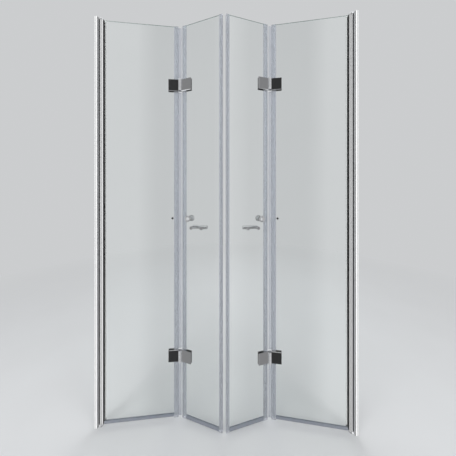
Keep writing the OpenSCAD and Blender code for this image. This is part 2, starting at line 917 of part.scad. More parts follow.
wall_channel(-1);  // left_wall_channel
wall_channel(1);  // right_wall_channel
pivot_profile(-1);  // left_pivot_profile
pivot_profile(1);  // right_pivot_profile
bearing_blocks(-1);  // left_bearing_blocks
bearing_blocks(1);  // right_bearing_blocks
bearing_bushes();
rail_strips();
side_screws();
pivot_rail(-1);  // left_pivot_rail
pivot_rail(1);  // right_pivot_rail
pivot_pins(-1);  // left_pivot_pins
pivot_pins(1);  // right_pivot_pins
outer_glass(-1);  // left_outer_glass
outer_glass(1);  // right_outer_glass
glazing_gasket(-1);  // left_glazing_gasket
glazing_gasket(1);  // right_glazing_gasket
outer_fold_seal(-1);  // left_outer_fold_seal
outer_fold_seal(1);  // right_outer_fold_seal
outer_bottom_seal(-1);  // left_outer_bottom_seal
outer_bottom_seal(1);  // right_outer_bottom_seal
outer_hinge_leaves(-1);  // left_outer_hinge_leaves
outer_hinge_leaves(1);  // right_outer_hinge_leaves
outer_back_plates(-1);  // left_outer_back_plates
outer_back_plates(1);  // right_outer_back_plates
outer_hinge_pads(-1);  // left_outer_hinge_pads
outer_hinge_pads(1);  // right_outer_hinge_pads
outer_hinge_screws(-1);  // left_outer_hinge_screws
outer_hinge_screws(1);  // right_outer_hinge_screws
bumper(-1);  // left_bumper
bumper(1);  // right_bumper
inner_glass(-1);  // left_inner_glass
inner_glass(1);  // right_inner_glass
inner_fold_seal(-1);  // left_inner_fold_seal
inner_fold_seal(1);  // right_inner_fold_seal
inner_bottom_seal(-1);  // left_inner_bottom_seal
inner_bottom_seal(1);  // right_inner_bottom_seal
magnet_seal(-1);  // left_magnet_seal
magnet_seal(1);  // right_magnet_seal
magnet_strip(-1);  // left_magnet_strip
magnet_strip(1);  // right_magnet_strip
inner_hinge_leaves(-1);  // left_inner_hinge_leaves
inner_hinge_leaves(1);  // right_inner_hinge_leaves
inner_back_plates(-1);  // left_inner_back_plates
inner_back_plates(1);  // right_inner_back_plates
inner_hinge_pads(-1);  // left_inner_hinge_pads
inner_hinge_pads(1);  // right_inner_hinge_pads
inner_hinge_screws(-1);  // left_inner_hinge_screws
inner_hinge_screws(1);  // right_inner_hinge_screws
fold_pins(-1);  // left_fold_pins
fold_pins(1);  // right_fold_pins
outside_knob(-1);  // left_outside_knob
outside_knob(1);  // right_outside_knob
inside_knob(-1);  // left_inside_knob
inside_knob(1);  // right_inside_knob
grip_bar(-1);  // left_grip_bar
grip_bar(1);  // right_grip_bar
handle_fixings(-1);  // left_handle_fixings
handle_fixings(1);  // right_handle_fixings
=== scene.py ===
"""Finish, fittings and studio of a double bi-fold shower door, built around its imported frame."""

import json
import math

import bmesh
import bpy
from bpy.props import FloatProperty, FloatVectorProperty, PointerProperty
from bpy.types import Operator, Panel, PropertyGroup
from mathutils import Matrix, Vector


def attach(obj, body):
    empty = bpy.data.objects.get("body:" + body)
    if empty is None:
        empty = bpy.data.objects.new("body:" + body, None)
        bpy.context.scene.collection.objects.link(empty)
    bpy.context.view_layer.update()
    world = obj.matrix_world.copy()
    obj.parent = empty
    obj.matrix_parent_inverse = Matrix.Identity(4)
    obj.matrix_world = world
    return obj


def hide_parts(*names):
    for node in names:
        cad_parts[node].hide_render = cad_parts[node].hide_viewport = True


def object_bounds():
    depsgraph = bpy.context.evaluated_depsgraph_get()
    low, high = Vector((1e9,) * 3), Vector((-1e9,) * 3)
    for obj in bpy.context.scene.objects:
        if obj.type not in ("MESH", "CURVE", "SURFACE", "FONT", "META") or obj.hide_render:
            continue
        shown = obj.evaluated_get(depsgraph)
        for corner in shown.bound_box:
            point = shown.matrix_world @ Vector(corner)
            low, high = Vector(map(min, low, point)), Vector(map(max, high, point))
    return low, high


bl_info = {
    "name": "Bi-fold Shower Door",
    "version": (1, 0, 0),
    "blender": (4, 5, 0),
    "location": "3D View > Sidebar > Shower Door",
    "description": "Dresses a double bi-fold shower door: glass, seals, hinges, handles and profiles",
    "category": "Object",
}

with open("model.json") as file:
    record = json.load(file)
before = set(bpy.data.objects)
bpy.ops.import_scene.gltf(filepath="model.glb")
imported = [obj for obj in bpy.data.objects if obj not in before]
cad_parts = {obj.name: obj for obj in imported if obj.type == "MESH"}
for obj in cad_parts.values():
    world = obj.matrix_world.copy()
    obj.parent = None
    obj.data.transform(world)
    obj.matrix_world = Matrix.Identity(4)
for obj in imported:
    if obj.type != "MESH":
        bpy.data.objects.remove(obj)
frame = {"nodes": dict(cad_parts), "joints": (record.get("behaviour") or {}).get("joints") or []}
CAD_BOX = [list(corner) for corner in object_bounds()]

JOINTS = {joint["name"]: joint for joint in frame["joints"]}
HALF_WIDE = CAD_BOX[1][0]
MIDDLE = CAD_BOX[1][2] / 2
CLOSE = 1e-6  # Points nearer than this count as one
PLAY = 0.0001  # Gap left round a part that fits into another
SPAN = 0.01  # How far a cutting tool runs past what it cuts

# The left half's turns and places: the right half is its mirror image
SWING = math.radians(-JOINTS["left_wall_pivot"]["range_deg"][0])
LEAN = math.radians(JOINTS["left_fold"]["range_deg"][1]) - SWING


def foot_of(joint):
    """Point on the sill below a joint."""
    return Vector((*joint["pos_m"][:2], 0.0))


def below_middle(point):
    """Whether a point belongs to the lower hinge."""
    return point.z < MIDDLE


def above_middle(point):
    """Whether a point belongs to the upper hinge."""
    return point.z > MIDDLE


UPRIGHT_TO_INSIDE = Matrix.Rotation(math.radians(-90), 4, "X")
UPRIGHT_TO_OUTSIDE = Matrix.Rotation(math.radians(90), 4, "X")
MIRROR = Matrix.Scale(-1, 4, (1, 0, 0))
SIDES = {"left": Matrix.Identity(4), "right": MIRROR}
AT_WALL = Matrix.Translation((CAD_BOX[0][0], 0, 0))
PIVOT_FOOT = Matrix.Translation(foot_of(JOINTS["left_wall_pivot"]))
FOLD_FOOT = Matrix.Translation(foot_of(JOINTS["left_fold"]))
AT_PIVOT = PIVOT_FOOT @ Matrix.Rotation(SWING, 4, "Z")
AT_FOLD = FOLD_FOOT @ Matrix.Rotation(-LEAN, 4, "Z")
AT_OUTER_FOLD = FOLD_FOOT @ Matrix.Rotation(SWING, 4, "Z") @ MIRROR


def measured(node, place=Matrix.Identity(4), wanted=lambda point: True):
    """Lowest and highest corners of a CAD node in a place's own axes."""
    back = place.inverted()
    points = [back @ vertex.co for vertex in frame["nodes"][node].data.vertices]
    points = [point for point in points if wanted(point)]
    low = Vector(min(point[axis] for point in points) for axis in range(3))
    high = Vector(max(point[axis] for point in points) for axis in range(3))
    return low, high


def length_setting(name, description, default):
    """Property that holds a length in metres."""
    return FloatProperty(name=name, description=description, default=default, unit="LENGTH")


def colour_setting(name, description, default):
    """Property that holds a colour."""
    return FloatVectorProperty(
        name=name, description=description, default=default, subtype="COLOR", min=0, max=1)


class StageSettings(PropertyGroup):
    """Camera, floor and lamps."""

    camera_place: FloatVectorProperty(
        name="Camera", description="Place of the camera", default=(0.0335, -0.815, 1.05),
        subtype="TRANSLATION", unit="LENGTH")
    camera_turn: FloatProperty(
        name="Camera turn", description="Turn of the camera towards the left",
        default=math.radians(1.2), subtype="ANGLE", unit="ROTATION")
    lens: FloatProperty(
        name="Lens", description="Focal length of the camera in millimetres",
        default=13.97, unit="CAMERA")
    shift: FloatProperty(
        name="Shift", description="Vertical shift of the lens", default=-0.06)
    floor_size: length_setting("Floor", "Width of the floor", 8.0)
    fade_start: length_setting("Fade start", "Distance at which the floor starts to fade out", 1.2)
    fade_end: length_setting("Fade end", "Distance at which only the backdrop's colour is left", 3.6)
    lamp_level: FloatProperty(
        name="Lamp level", description="Level of all the lamps together", default=1.0)
    side_level: FloatProperty(
        name="Side level", description="Brightness of the two strip lights beside the posts",
        default=0.4)
    room_level: FloatProperty(
        name="Room level", description="Level of the light that comes from all round",
        default=1.0)
    backdrop_colour: colour_setting("Backdrop", "Colour of the backdrop", (0.60, 0.61, 0.62))
    floor_colour: colour_setting("Floor colour", "Colour of the floor", (0.70, 0.71, 0.72))


class FinishSettings(PropertyGroup):
    """Colours of the finishes."""

    chrome: colour_setting("Chrome", "Colour of the chromed fittings", (0.80, 0.81, 0.83))
    aluminium: colour_setting("Aluminium", "Colour of the bright profiles", (0.90, 0.905, 0.91))
    satin: colour_setting("Satin", "Colour of the satin anodised profiles", (0.62, 0.63, 0.65))
    steel: colour_setting("Steel", "Colour of the screws and pins", (0.60, 0.60, 0.61))
    glass: colour_setting("Glass", "Tint of the panes", (0.965, 0.985, 0.98))
    clear_vinyl: colour_setting("Clear vinyl", "Tint of the upright seals", (0.72, 0.735, 0.775))
    smoky_vinyl: colour_setting("Smoky vinyl", "Tint of the bottom seals", (0.34, 0.365, 0.42))
    rubber: colour_setting("Rubber", "Colour of gaskets, pads and strips", (0.018, 0.018, 0.020))


class ProfileSettings(PropertyGroup):
    """Wall channel, turning rail and gasket."""

    wall: length_setting("Channel wall", "Wall thickness of the wall channel", 0.003)
    crown: length_setting("Crown", "Height of the crown across the channel's front and back", 0.001)
    hole: length_setting("Wall hole", "Diameter of the holes for the wall screws", 0.0055)
    hole_pitch: length_setting("Hole pitch", "Distance between neighbouring wall screws", 0.5)
    strip_edge: length_setting("Strip edge", "Radius of the edges of the black strips", 0.0005)
    rail: length_setting("Rail", "Diameter of the turning rail", 0.016)
    lip: length_setting("Lip", "Wall thickness of the rail's lips", 0.0015)
    gasket: length_setting("Gasket", "Thickness of the gasket on each face of the glass", 0.002)
    edge: length_setting("Profile edge", "Radius of the profiles' long edges", 0.0004)


class GlassSettings(PropertyGroup):
    """Panes of safety glass."""

    arris: length_setting("Arris", "Width of the polished bevel round a pane", 0.0008)
    corner: length_setting("Corner", "Radius of a pane's corners", 0.003)
    hinge_hole: length_setting("Hinge hole", "Diameter of the holes behind the hinges", 0.012)
    handle_hole: length_setting(
        "Handle hole", "Diameter of the holes of the knob and the grip bar", 0.010)


class SealSettings(PropertyGroup):
    """Clear upright seals and smoky bottom seals."""

    wall: length_setting("Seal wall", "Wall thickness of the seals", 0.0013)
    nose_round: length_setting("Nose radius", "Radius of the seals' noses", 0.003)
    rib: length_setting("Rib", "Height of the fine ribs along the legs", 0.00025)
    fin: length_setting("Fin", "Thickness of the fin that covers the fold", 0.0008)


class HingeSettings(PropertyGroup):
    """Fold hinges."""

    proud: length_setting("Pin offset", "Distance of the pin in front of the leaves", 0.002)
    bevel: length_setting("Leaf bevel", "Width of the bevel round a leaf", 0.0016)
    knuckle: length_setting("Knuckle", "Diameter of the knuckle", 0.013)
    gap: length_setting("Knuckle gap", "Gap between neighbouring barrels", 0.0005)
    pin: length_setting("Pin", "Diameter of a fold pin", 0.006)
    screw_far: length_setting("Screw distance", "Distance between the pin and the screws", 0.034)
    screw_pitch: length_setting("Screw pitch", "Distance between the two screws of a leaf", 0.028)
    head: length_setting("Screw head", "Diameter of a screw's counterbore", 0.0089)
    head_deep: length_setting("Counterbore", "Depth of a screw's counterbore", 0.0027)


class HandleSettings(PropertyGroup):
    """Knobs, grip bars and bumpers."""

    knob: length_setting("Knob", "Diameter of a knob", 0.029)
    dish: length_setting("Dish", "Depth of the dish in a knob's face", 0.0018)
    bar: length_setting("Bar", "Diameter of a grip bar", 0.018)
    post: length_setting("Post", "Diameter of a grip bar's posts", 0.010)
    post_inset: length_setting("Post inset", "Distance between a post and the end of its bar", 0.012)
    cap: length_setting("Cap", "Diameter of the caps in front of the glass", 0.016)
    washer: length_setting("Washer", "Thickness of a washer", 0.001)
    stud: length_setting("Stud", "Diameter of the stud that joins two knobs", 0.006)
    screw: length_setting("Screw", "Diameter of a grip bar's screws", 0.005)


class Value:
    """A node's output that takes part in Python arithmetic."""

    def __init__(self, finish, socket):
        self.finish = finish
        self.socket = socket

    def __add__(self, other):
        return self.finish.sum("ADD", self, other)

    def __sub__(self, other):
        return self.finish.sum("SUBTRACT", self, other)

    def __rsub__(self, other):
        return self.finish.sum("SUBTRACT", other, self)

    def __mul__(self, other):
        return self.finish.sum("MULTIPLY", self, other)

    __radd__ = __add__
    __rmul__ = __mul__


class Finish:
    """Nodes of one procedural material, or of the world, under construction."""

    def __init__(self, name, owners="materials", output="OutputMaterial"):
        self.owner = getattr(bpy.data, owners).new(name)
        self.owner.use_nodes = True
        self.tree = self.owner.node_tree
        self.tree.nodes.clear()
        self.output = self.tree.nodes.new("ShaderNode" + output)

    def node(self, kind, settings=(), inputs=(), output=0):
        """Adds a node, sets it, then feeds its inputs by name or number."""
        node = self.tree.nodes.new("ShaderNode" + kind)
        for name, value in dict(settings).items():
            setattr(node, name, value)
        for name, value in dict(inputs).items():
            self.feed(node.inputs[name], value)
        return Value(self, node.outputs[output])

    def feed(self, socket, value):
        """Links a Value to a socket, or sets the socket to a number or colour."""
        if isinstance(value, Value):
            self.tree.links.new(value.socket, socket)
        elif socket.type == "RGBA" and len(value) == 3:
            socket.default_value = (*value, 1.0)
        else:
            socket.default_value = value

    def sum(self, operation, first, second):
        """Result of a Math node."""
        return self.node("Math", {"operation": operation}, {0: first, 1: second})

    def coordinates(self, scale=(1, 1, 1)):
        """Object coordinates: a low scale draws a pattern out along that axis."""
        place = self.node("TexCoord", output="Object")
        return self.node("Mapping", {}, {"Vector": place, "Scale": scale})

    def noise(self, vector, size, detail=3.0, roughness=0.5):
        """Cloudy pattern from 0 to 1, its features about size metres across."""
        return self.node("TexNoise", {}, {
            "Vector": vector, "Scale": 1 / size, "Detail": detail, "Roughness": roughness})

    def spread(self, value, low, high):
        """Value with low to high stretched over 0 to 1, and held there beyond them."""
        return self.node("MapRange", {"clamp": True}, {
            "Value": value, "From Min": low, "From Max": high})

    def ramp(self, value, stops):
        """Brightness that follows a value through stops of position and level."""
        node = self.tree.nodes.new("ShaderNodeValToRGB")
        elements = node.color_ramp.elements
        for index, (position, level) in enumerate(stops):
            stop = elements[index] if index < 2 else elements.new(position)
            stop.position = position
            stop.color = (level, level, level, 1)
        self.feed(node.inputs["Fac"], value)
        return Value(self, node.outputs["Color"])

    def blend(self, factor, first, second):
        """Colour between two colours."""
        return self.node("Mix", {"data_type": "RGBA"}, {0: factor, 6: first, 7: second}, output=2)

    def bump(self, height, distance):
        """Normal that follows a height pattern."""
        return self.node("Bump", {}, {"Height": height, "Distance": distance, "Strength": 1.0})

    def surface(self, shader):
        """Uses a shader as the surface."""
        self.feed(self.output.inputs["Surface"], shader)
        return self.owner

    def principled(self, **inputs):
        """Principled shader: words in its input names are joined by underscores here."""
        return self.node("BsdfPrincipled", {}, {
            name.replace("_", " "): value for name, value in inputs.items()})


def chrome(colours):
    """Mirror chrome with a few dull drying marks."""
    made = Finish("chrome")
    place = made.coordinates()
    cloud = made.noise(place, 0.030, 4.0, 0.6)
    speck = made.spread(made.noise(place, 0.004, 2.0), 0.62, 0.72)
    marks = made.spread(cloud, 0.45, 0.75) * 0.05 + speck * 0.05
    return made.surface(made.principled(
        Base_Color=made.blend(marks, colours.chrome, (0.62, 0.63, 0.65)),
        Metallic=1.0,
        Roughness=marks + 0.045,
        Normal=made.bump(made.noise(place, 0.012, 1.0), 0.00002),
    ))


def drawn_metal(name, colour, dark, least_roughness, depth):
    """Extruded aluminium with fine lines along its length."""
    made = Finish(name)
    lines = made.noise(made.coordinates((1, 1, 0.004)), 0.0009, 2.0, 0.7)
    broad = made.noise(made.coordinates((1, 1, 0.05)), 0.012, 2.0)
    haze = made.noise(made.coordinates(), 0.09, 4.0, 0.6)
    tone = made.spread(lines * 0.6 + broad * 0.4, 0.35, 0.65)
    return made.surface(made.principled(
        Base_Color=made.blend(tone * 0.35, colour, dark),
        Metallic=1.0,
        Roughness=tone * 0.05 + haze * 0.06 + least_roughness,
        Normal=made.bump(lines, depth),
    ))


def turned_steel(colours):
    """Plain steel of screws and pins with fine machining marks."""
    made = Finish("stainless_steel")
    place = made.coordinates()
    grain = made.noise(place, 0.0012, 3.0, 0.7)
    stain = made.spread(made.noise(place, 0.018, 3.0), 0.4, 0.8)
    return made.surface(made.principled(
        Base_Color=made.blend(stain * 0.4, colours.steel, (0.42, 0.41, 0.40)),
        Metallic=1.0,
        Roughness=grain * 0.14 + stain * 0.08 + 0.17,
        Normal=made.bump(grain, 0.00002),
    ))


def let_lamps_through(made, shader, tint):
    """Lets the lamps shine through a clear material instead of casting a solid shadow."""
    lamp_ray = made.node("LightPath", output="Is Shadow Ray")
    open_way = made.node("BsdfTransparent", {}, {"Color": tint})
    return made.surface(made.node("MixShader", {}, {0: lamp_ray, 1: shader, 2: open_way}))


def clear_glass(colours):
    """Toughened glass, clear and faintly green, with a thin uneven film."""
    made = Finish("safety_glass")
    place = made.coordinates()
    film = made.spread(made.noise(place, 0.16, 5.0, 0.6), 0.45, 0.8)
    shader = made.principled(
        Base_Color=made.blend(film * 0.5, colours.glass, (0.94, 0.96, 0.955)),
        Roughness=0.0,
        IOR=1.5,
        Transmission_Weight=1.0,
        Normal=made.bump(made.noise(place, 0.35, 1.0), 0.0002),
    )
    return let_lamps_through(made, shader, (0.93, 0.96, 0.95))


def ground_edge():
    """Ground and polished rim of a pane, greener than its faces."""
    made = Finish("glass_edge")
    grind = made.noise(made.coordinates((1, 1, 0.2)), 0.0015, 3.0, 0.6)
    shader = made.principled(
        Base_Color=made.blend(grind * 0.5, (0.42, 0.60, 0.55), (0.60, 0.74, 0.69)),
        Roughness=grind * 0.15 + 0.12,
        IOR=1.5,
        Transmission_Weight=0.7,
        Normal=made.bump(grind, 0.00003),
    )
    return let_lamps_through(made, shader, (0.75, 0.86, 0.82))


def vinyl(name, colour, cloudy, through, shade):
    """Translucent extruded vinyl with soft lengthwise streaks."""
    made = Finish(name)
    streaks = made.noise(made.coordinates((1, 1, 0.01)), 0.0012, 2.0, 0.6)
    cloud = made.noise(made.coordinates((1, 1, 0.2)), 0.05, 3.0, 0.6)
    tone = made.spread(streaks * 0.6 + cloud * 0.4, 0.35, 0.65)
    shader = made.principled(
        Base_Color=made.blend(tone * 0.5, colour, cloudy),
        Roughness=tone * 0.10 + 0.10,
        IOR=1.45,
        Transmission_Weight=through,
        Normal=made.bump(streaks, 0.00004),
    )
    return let_lamps_through(made, shader, shade)


def rubber(colours):
    """Matte black rubber with a fine grain and a little dust."""
    made = Finish("black_rubber")
    grain = made.noise(made.coordinates(), 0.0008, 3.0, 0.7)
    dust = made.spread(made.noise(made.coordinates((1, 1, 0.3)), 0.03, 4.0), 0.5, 0.8)
    return made.surface(made.principled(
        Base_Color=made.blend(dust * 0.5, colours.rubber, (0.07, 0.07, 0.07)),
        Roughness=grain * 0.15 + 0.45,
        Normal=made.bump(grain, 0.00004),
    ))


def nylon():
    """Natural nylon of the bearing bushes."""
    made = Finish("nylon")
    grain = made.noise(made.coordinates(), 0.002, 3.0)
    return made.surface(made.principled(
        Base_Color=made.blend(grain * 0.5, (0.78, 0.77, 0.72), (0.66, 0.64, 0.58)),
        Roughness=grain * 0.15 + 0.35,
        Normal=made.bump(grain, 0.00003),
    ))


def ferrite():
    """Matte white magnet strip with a faint lengthwise grain; its white is partly a painted highlight
    for the bright line along the closing edge.
    """
    made = Finish("magnet_strip")
    grain = made.noise(made.coordinates((1, 1, 0.05)), 0.0015, 3.0)
    return made.surface(made.principled(
        # Partly painted highlight: the white stands in for the bright line of light along the closing
        # edge
        Base_Color=made.blend(grain * 0.6, (0.80, 0.81, 0.83), (0.66, 0.67, 0.69)),
        Roughness=grain * 0.2 + 0.5,
        Normal=made.bump(grain, 0.00003),
    ))


def slot_name(material):
    """Name of the slot that a material belongs to, without Blender's running number."""
    return material.name.split(".")[0]


def finishes(colours):
    """Every finish of the door, under the name of its slot."""
    made = (
        chrome(colours),
        drawn_metal("polished_aluminium", colours.aluminium, (0.78, 0.79, 0.80), 0.10, 0.00001),
        drawn_metal("brushed_aluminium", colours.satin, (0.50, 0.51, 0.52), 0.25, 0.00003),
        turned_steel(colours),
        clear_glass(colours),
        ground_edge(),
        vinyl("clear_vinyl", colours.clear_vinyl, (0.80, 0.81, 0.84), 0.80, (0.82, 0.84, 0.87)),
        vinyl("smoky_vinyl", colours.smoky_vinyl, (0.44, 0.465, 0.51), 0.35, (0.48, 0.51, 0.56)),
        rubber(colours),
        nylon(),
        ferrite(),
    )
    return {slot_name(finish): finish for finish in made}


FINISHES = {}


class SHOWER_OT_stage(Operator):
    """Sets the camera, the floor, the backdrop and the lamps"""

    bl_idname = "shower.stage"
    bl_label = "Studio"

    def execute(self, context):
        stage = context.scene.shower_stage
        self.aim_camera(context.scene, stage)
        self.lay_floor(stage)
        self.light(context.scene, stage)
        context.scene.view_settings.view_transform = "Standard"
        return {"FINISHED"}

    def aim_camera(self, scene, stage):
        """Level camera in front of the door."""
        data = bpy.data.cameras.new("camera")
        data.lens = stage.lens
        data.shift_y = stage.shift
        data.clip_start = 0.01
        camera = bpy.data.objects.new("camera", data)
        camera.location = stage.camera_place
        camera.rotation_euler = (math.pi / 2, 0, stage.camera_turn)
        scene.collection.objects.link(camera)
        scene.camera = camera

    def lay_floor(self, stage):
        """Floor that fades into the backdrop and shows in no reflection."""
        begin()
        bpy.ops.mesh.primitive_plane_add(size=stage.floor_size)
        floor = bpy.context.object
        floor.name = "floor"
        made = Finish("floor")
        place = made.coordinates()
        near = made.principled(
            Base_Color=made.blend(
                made.noise(place, 0.4, 2.0) * 0.5, stage.floor_colour, (0.62, 0.625, 0.63)),
            Roughness=0.6,
        )
        away = made.node("VectorMath", {"operation": "LENGTH"}, {0: place}, output="Value")
        far = made.node("Emission", {}, {"Color": stage.backdrop_colour})
        fade = made.spread(away, stage.fade_start, stage.fade_end)
        laid = made.node("MixShader", {}, {0: fade, 1: near, 2: far})
        mirrored = made.node("LightPath", output="Glossy Depth")
        unseen = made.node("BsdfTransparent")
        made.surface(made.node("MixShader", {}, {0: mirrored, 1: laid, 2: unseen}))
        floor.data.materials.append(made.owner)

    def light(self, scene, stage):
        """Soft boxes that show in no reflection, and a strip beside each post that does."""
        centre = Vector((0, 0, MIDDLE))
        for name, place, size, power in (
            ("key", (-2.3, -2.3, 2.0), (1.5, 2.6), 40),
            ("fill", (2.5, -1.9, 1.8), (1.2, 2.4), 27),
            ("top", (0.0, -0.2, 3.6), (2.4, 1.6), 18),
            ("back", (0.4, 2.8, 2.4), (2.6, 1.4), 24),
        ):
            lamp = self.soft_box(scene, name, size, power * stage.lamp_level, place, centre)
            lamp.visible_glossy = False
        size = (0.29, 2.9)
        power = math.pi * size[0] * size[1] * stage.side_level
        for side in (-1, 1):
            post = Vector((side * HALF_WIDE, 0, MIDDLE))
            place = post + Vector((side * 0.213, -0.278, 0))
            lamp = self.soft_box(scene, "side_strip", size, power, place, post)
            lamp.visible_diffuse = False
        scene.world = self.surround(stage)

    def soft_box(self, scene, name, size, power, place, aim):
        """Rectangular lamp that never shows to the camera or through glass."""
        data = bpy.data.lights.new(name, "AREA")
        data.shape = "RECTANGLE"
        data.size, data.size_y = size
        data.energy = power
        lamp = bpy.data.objects.new(name, data)
        lamp.location = place
        lamp.rotation_euler = (Vector(place) - aim).to_track_quat("Z", "Y").to_euler()
        lamp.visible_camera = False
        lamp.visible_transmission = False
        scene.collection.objects.link(lamp)
        return lamp

    def surround(self, stage):
        """World: an even backdrop, and a room of its own that shows in reflections."""
        made = Finish("studio", "worlds", "OutputWorld")
        shown = made.node("Background", {}, {"Color": stage.backdrop_colour})
        lit_room = made.node("Background", {}, {
            "Color": stage.backdrop_colour, "Strength": stage.room_level})
        mirrored_room = made.node("Background", {}, {"Color": self.mirrored_levels(made)})
        seen = made.node("LightPath", output="Is Camera Ray") + made.node(
            "LightPath", output="Is Transmission Ray")
        mirrored = made.node("LightPath", output="Glossy Depth")
        room = made.node("MixShader", {}, {0: seen, 1: lit_room, 2: shown})
        return made.surface(made.node("MixShader", {}, {0: mirrored, 1: room, 2: mirrored_room}))

    def mirrored_levels(self, made):
        """Bright walls with dark gaps between, dark straight behind the door, pale above."""
        way = made.node("TexCoord", output="Generated")
        flat = made.node("VectorMath", {"operation": "MULTIPLY"}, {0: way, 1: (1, 1, 0)})
        flat = made.node("VectorMath", {"operation": "NORMALIZE"}, {0: flat})
        depth = made.node("SeparateXYZ", {}, {0: flat}, output="Y")
        ahead = made.sum("ABSOLUTE", depth, 0.0)
        rise = made.node("SeparateXYZ", {}, {0: way}, output="Z")
        walls = made.ramp(ahead, (
            (0.0, 0.90), (1.0, 0.04), (0.30, 0.90), (0.36, 0.30), (0.47, 0.30), (0.53, 0.95),
            (0.60, 0.95), (0.66, 0.26), (0.80, 0.26), (0.86, 0.90), (0.965, 0.92), (0.985, 0.05)))
        walls = walls * (1.0 - made.spread(depth, 0.83, 0.87) * 0.9)
        level = walls + (1.0 - walls) * made.spread(rise, 0.72, 0.80)
        return level + (0.35 - level) * made.spread(rise, -0.72, -0.82)


class SHOWER_OT_finishes(Operator):
    """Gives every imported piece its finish"""

    bl_idname = "shower.finishes"
    bl_label = "Finishes"

    def execute(self, context):
        FINISHES.update(finishes(context.scene.shower_finish))
        for piece in frame["nodes"].values():
            for slot in piece.material_slots:
                slot.material = FINISHES[slot_name(slot.material)]
        return {"FINISHED"}


def arc(centre, radius, start, end, steps):
    """Points along an arc, its angles in degrees."""
    x, y = centre
    turns = [math.radians(start + (end - start) * step / steps) for step in range(steps + 1)]
    return [(x + radius * math.cos(turn), y + radius * math.sin(turn)) for turn in turns]


def both_sides(points):
    """Points and their mirror images across the first axis, in one closed outline."""
    return points + [(x, -y) for x, y in reversed(points)]


def begin():
    """Deselects everything, so that the next step acts on nothing else."""
    bpy.ops.object.select_all(action="DESELECT")


def work_on(piece):
    """Makes a piece the only selected and active one."""
    begin()
    piece.select_set(True)
    bpy.context.view_layer.objects.active = piece


def edit(piece):
    """Opens a piece for shaping with all of it selected."""
    work_on(piece)
    bpy.ops.object.mode_set(mode="EDIT")
    bpy.ops.mesh.select_all(action="SELECT")


def leave():
    """Turns the faces outwards and closes edit mode."""
    bpy.ops.mesh.select_all(action="SELECT")
    bpy.ops.mesh.normals_make_consistent(inside=False)
    bpy.ops.object.mode_set(mode="OBJECT")


def pick_edges(wanted):
    """Selects in edit mode only the edges whose two ends pass the test."""
    bpy.ops.mesh.select_all(action="DESELECT")
    bpy.ops.mesh.select_mode(type="EDGE")
    shape = bmesh.from_edit_mesh(bpy.context.object.data)
    for line in shape.edges:
        line.select_set(wanted(line.verts[0].co, line.verts[1].co))
    bmesh.update_edit_mesh(bpy.context.object.data)


def drawn(name, outline, start, end, axis="Z"):
    """Solid drawn along an axis from a closed outline in the other two."""
    begin()
    bpy.ops.mesh.primitive_circle_add(vertices=len(outline), fill_type="NGON")
    piece = bpy.context.object
    piece.name = name
    for vertex, (first, second) in zip(piece.data.vertices, outline):
        vertex.co = (first, second, start) if axis == "Z" else (start, first, second)
    travel = (0, 0, end - start) if axis == "Z" else (end - start, 0, 0)
    edit(piece)
    bpy.ops.mesh.extrude_region_move(TRANSFORM_OT_translate={"value": travel})
    leave()
    return piece


def turned(name, outline, steps=48):
    """Solid turned round Z from points of radius and height, closed or from axis to axis."""
    begin()
    bpy.ops.mesh.primitive_circle_add(vertices=len(outline), fill_type="NOTHING")
    piece = bpy.context.object
    piece.name = name
    for vertex, (radius, height) in zip(piece.data.vertices, outline):
        vertex.co = (radius, 0, height)
    edit(piece)
    pick_edges(lambda a, b: a.x == 0 and b.x == 0)
    bpy.ops.mesh.delete(type="EDGE")
    bpy.ops.mesh.select_all(action="SELECT")
    bpy.ops.mesh.spin(steps=steps, angle=math.tau, center=(0, 0, 0), axis=(0, 0, 1))
    bpy.ops.mesh.select_all(action="SELECT")
    bpy.ops.mesh.remove_doubles(threshold=CLOSE)
    leave()
    return piece


def disc(name, radius, thick, soft, steps):
    """Turned disc from Z = 0 with a rounded upper rim."""
    outline = [(0, 0), (radius, 0)]
    outline += arc((radius - soft, thick - soft), soft, 0, 90, steps)
    outline += [(0, thick)]
    return turned(name, outline)


def block(name, low, high):
    """Box between two corners, ready to be shaped."""
    begin()
    low, high = Vector(low), Vector(high)
    bpy.ops.mesh.primitive_cube_add(size=1, location=(low + high) / 2, scale=high - low)
    piece = bpy.context.object
    piece.name = name
    bpy.ops.object.transform_apply(location=True, rotation=True, scale=True)
    return piece


def rod(name, radius, start, end, sides=32):
    """Cylinder between two points."""
    begin()
    start, end = Vector(start), Vector(end)
    way = end - start
    bpy.ops.mesh.primitive_cylinder_add(
        vertices=sides, radius=radius, depth=way.length, location=(start + end) / 2,
        rotation=way.to_track_quat("Z", "Y").to_euler())
    piece = bpy.context.object
    piece.name = name
    bpy.ops.object.transform_apply(location=True, rotation=True, scale=True)
    return piece


def upright(name, radius, low, high, sides=64):
    """Cylinder round the Z axis between two heights."""
    return rod(name, radius, (0, 0, low), (0, 0, high), sides)


def combine(piece, tool, operation):
    """Joins a tool to a piece or cuts it out, and puts the tool away."""
    work_on(piece)
    bpy.ops.object.modifier_add(type="BOOLEAN")
    modifier = piece.modifiers[-1]
    modifier.operation = operation
    modifier.solver = "EXACT"
    modifier.object = tool
    bpy.ops.object.modifier_apply(modifier=modifier.name)
    bpy.data.objects.remove(tool)
    return piece


def cut(piece, tool):
    """Cuts a tool's shape out of a piece."""
    return combine(piece, tool, "DIFFERENCE")


def weld(piece, tool):
    """Makes two solids one."""
    return combine(piece, tool, "UNION")


def eased(piece, width, segments=2, angle=30.0):
    """Rounds every edge that is sharper than an angle."""
    work_on(piece)
    bpy.ops.object.modifier_add(type="BEVEL")
    modifier = piece.modifiers[-1]
    modifier.width = width
    modifier.segments = segments
    modifier.limit_method = "ANGLE"
    modifier.angle_limit = math.radians(angle)
    bpy.ops.object.modifier_apply(modifier=modifier.name)
    return piece


